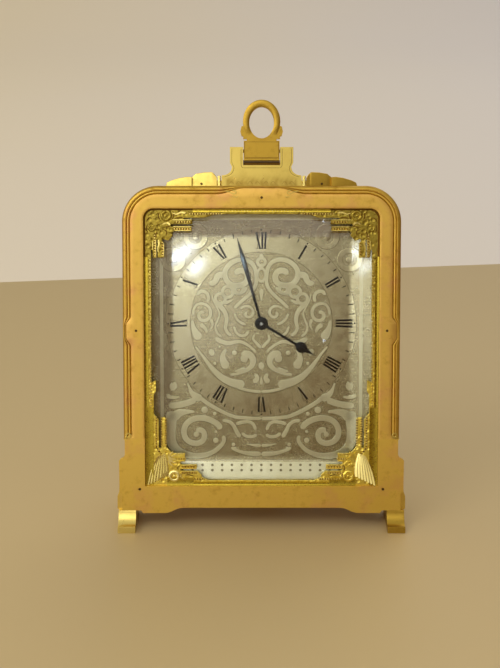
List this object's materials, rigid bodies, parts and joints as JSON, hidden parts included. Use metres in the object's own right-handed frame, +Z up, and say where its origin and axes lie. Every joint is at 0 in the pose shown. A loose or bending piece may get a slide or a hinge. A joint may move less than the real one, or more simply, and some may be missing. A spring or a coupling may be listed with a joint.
{
  "type": "strut clock",
  "caption": "Small leaning strut clock: gilt reeded frame, pierced mask behind which a bevelled glass covers a silvered dial, bracket feet, hinged bow and folding back strut.",
  "frame": {"origin": "on the floor, midway between the two front feet, where the plane of the frame's front face meets the floor", "axes": "+X to the right seen from the front, +Y from the front to the strut, +Z up; the case leans back 18 degrees from +Z"},
  "size_m": [0.1024, 0.0714, 0.1421],
  "materials": {
    "frame_gilt": "worn fire gilding, fine-grained, brass and copper showing through",
    "plate_gilt": "satin fire gilding",
    "crest_gilt": "bright gilding, lightly grained",
    "mask_gilt": "bright engraved and beaded gilding",
    "pin_steel": "darkened steel",
    "glass": "polished plate glass with a ground and polished bevel",
    "silvered_dial": "silvered brass, engraved scrollwork, filled numerals",
    "blued_steel": "blued, polished",
    "movement_brass": "lacquered brass",
    "bright_steel": "polished steel",
    "spring_steel": "tempered spring steel"
  },
  "bodies": {
    "case": {"front_frame": "frame_gilt", "frame_pins": "pin_steel", "profile_plate": "plate_gilt", "crest_plate": "crest_gilt", "crest_wing_left": "crest_gilt", "crest_wing_right": "crest_gilt", "crest_posts": "crest_gilt", "crest_pins": "pin_steel", "crest_rail": "plate_gilt", "crest_rail_screws": "pin_steel", "bow_pin": "pin_steel", "mask": "mask_gilt", "glass": "glass", "glass_keeper": "movement_brass", "case_band": "plate_gilt", "foot_left": "crest_gilt", "foot_right": "crest_gilt", "foot_screws": "pin_steel", "dial_plate": "silvered_dial", "dial_studs": "movement_brass", "dial_nuts": "movement_brass", "dial_feet": "movement_brass", "minute_wheel_stud": "bright_steel", "front_plate": "movement_brass", "back_plate": "movement_brass", "pillars": "movement_brass", "pillar_screws": "blued_steel", "click_screw": "blued_steel", "click_spring": "spring_steel", "balance_cock": "movement_brass", "back_cover": "plate_gilt", "back_screws": "pin_steel", "strut_bracket": "plate_gilt", "strut_pin": "pin_steel"},
    "bow": {"bow": "crest_gilt"},
    "hands_arbor": {"set_arbor": "bright_steel", "cannon_pinion": "bright_steel", "minute_hand": "blued_steel", "hand_collet": "blued_steel"},
    "motion_wheel": {"minute_wheel": "movement_brass"},
    "hour_pipe": {"hour_wheel": "movement_brass", "hour_hand": "blued_steel"},
    "winding_arbor": {"barrel_arbor": "bright_steel", "ratchet_wheel": "bright_steel"},
    "going_barrel": {"barrel": "movement_brass", "great_wheel": "movement_brass", "barrel_cover": "movement_brass", "mainspring": "spring_steel"},
    "centre": {"centre_wheel": "movement_brass", "centre_arbor": "bright_steel"},
    "third": {"third_wheel": "movement_brass"},
    "fourth": {"fourth_wheel": "movement_brass"},
    "escape": {"escape_wheel": "movement_brass"},
    "lever": {"pallet_lever": "bright_steel"},
    "balance": {"balance_wheel": "movement_brass", "balance_staff": "bright_steel", "hairspring": "spring_steel"},
    "click": {"click": "bright_steel"},
    "strut": {"strut": "plate_gilt"},
    "shutter": {"shutter": "crest_gilt"}
  },
  "joints": [
    {"name": "strut_fold", "type": "hinge", "parent": "case", "child": "strut", "pos_m": [0, 0.0503, 0.07618], "axis": [1, 0, 0], "range_deg": [-30, 0]},
    {"name": "bow_fold", "type": "hinge", "parent": "case", "child": "bow", "pos_m": [0, 0.04473, 0.12505], "axis": [1, 0, 0], "range_deg": [-90, 90]},
    {"name": "shutter_swing", "type": "hinge", "parent": "case", "child": "shutter", "pos_m": [0.01217, 0.04019, 0.05217], "axis": [0, 0.9511, -0.309], "range_deg": [0, 75]},
    {"name": "set_hands", "type": "hinge", "parent": "case", "child": "hands_arbor", "pos_m": [0, 0.02805, 0.06691], "axis": [0, 0.9511, -0.309], "continuous": true},
    {"name": "minute_wheel_turn", "type": "hinge", "parent": "case", "child": "motion_wheel", "pos_m": [0.0036, 0.03416, 0.07148], "axis": [0, 0.9511, -0.309], "continuous": true},
    {"name": "hour_hand_turn", "type": "hinge", "parent": "case", "child": "hour_pipe", "pos_m": [0, 0.02919, 0.06654], "axis": [0, 0.9511, -0.309], "continuous": true},
    {"name": "winding", "type": "hinge", "parent": "case", "child": "winding_arbor", "pos_m": [0.01217, 0.03845, 0.0601], "axis": [0, 0.9511, -0.309], "range_deg": [-1800, 0]},
    {"name": "click_lift", "type": "hinge", "parent": "case", "child": "click", "pos_m": [0.02025, 0.03936, 0.0629], "axis": [0, 0.9511, -0.309], "range_deg": [0, 8], "stiffness_Nm_per_rad": 0.0004},
    {"name": "fourth_turn", "type": "hinge", "parent": "case", "child": "fourth", "pos_m": [-0.01067, 0.03499, 0.06239], "axis": [0, 0.9511, -0.309], "continuous": true},
    {"name": "third_turn", "type": "hinge", "parent": "case", "child": "third", "pos_m": [-0.00707, 0.03692, 0.06832], "axis": [0, 0.9511, -0.309], "continuous": true},
    {"name": "centre_turn", "type": "hinge", "parent": "case", "child": "centre", "pos_m": [0, 0.03566, 0.06444], "axis": [0, 0.9511, -0.309], "continuous": true},
    {"name": "barrel_turn", "type": "hinge", "parent": "case", "child": "going_barrel", "pos_m": [0.01217, 0.03465, 0.06133], "axis": [0, 0.9511, -0.309], "continuous": true, "deforming": ["mainspring"]},
    {"name": "escape_turn", "type": "hinge", "parent": "case", "child": "escape", "pos_m": [-0.00845, 0.03311, 0.05659], "axis": [0, 0.9511, -0.309], "continuous": true},
    {"name": "lever_rock", "type": "hinge", "parent": "case", "child": "lever", "pos_m": [-0.00481, 0.03216, 0.05369], "axis": [0, 0.9511, -0.309], "range_deg": [-3, 3]},
    {"name": "balance_swing", "type": "hinge", "parent": "case", "child": "balance", "pos_m": [0.00159, 0.03562, 0.05138], "axis": [0, 0.9511, -0.309], "range_deg": [-120, 120], "stiffness_Nm_per_rad": 0.0000022, "deforming": ["hairspring"]}
  ],
  "couplings": [
    {"joint": "minute_wheel_turn", "follows": "set_hands", "ratio": -0.33333},
    {"joint": "hour_hand_turn", "follows": "set_hands", "ratio": 0.083333},
    {"joint": "third_turn", "follows": "fourth_turn", "ratio": -0.125},
    {"joint": "centre_turn", "follows": "fourth_turn", "ratio": 0.016667},
    {"joint": "barrel_turn", "follows": "fourth_turn", "ratio": -0.0027778},
    {"joint": "escape_turn", "follows": "fourth_turn", "ratio": -8}
  ]
}
